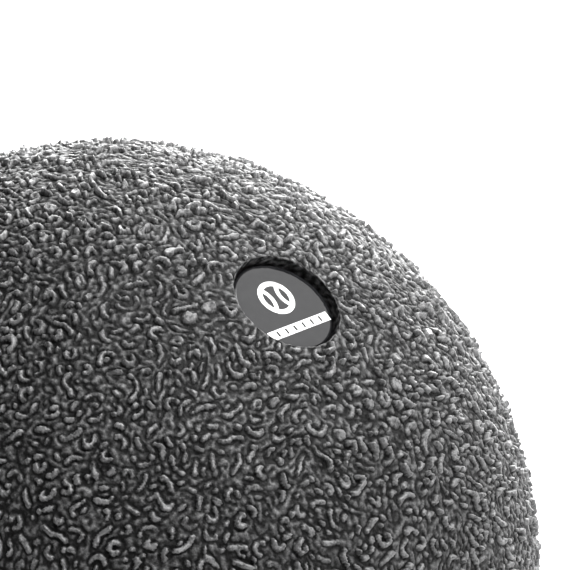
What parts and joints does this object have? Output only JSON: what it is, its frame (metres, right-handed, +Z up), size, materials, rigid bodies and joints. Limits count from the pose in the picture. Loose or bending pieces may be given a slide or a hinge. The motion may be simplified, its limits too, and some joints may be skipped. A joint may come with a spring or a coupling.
{
  "type": "massage ball",
  "caption": "Firm black foam massage ball with an all-over moulded grain and a round glossy badge set into a pocket just below the surface.",
  "frame": {"origin": "centre of the ball", "axes": "+Z up with the ball at rest on a floor 60 mm below the origin; the badge axis lies in the plane x = 0 and leans 35 degrees from +Z towards -Y; +X is the badge print's left-to-right direction"},
  "size_m": [0.12, 0.12, 0.12],
  "materials": {
    "foam": "moulded closed-cell foam with a fine raised worm-like grain, slightly shiny",
    "adhesive": "matte double-sided foam tape",
    "badge_plastic": "high gloss",
    "ink": "opaque white print"
  },
  "bodies": {
    "root": {"foam_ball": "foam", "badge_adhesive": "adhesive", "badge_disc": "badge_plastic", "badge_mark": "ink", "badge_bar": "ink"}
  },
  "joints": []
}
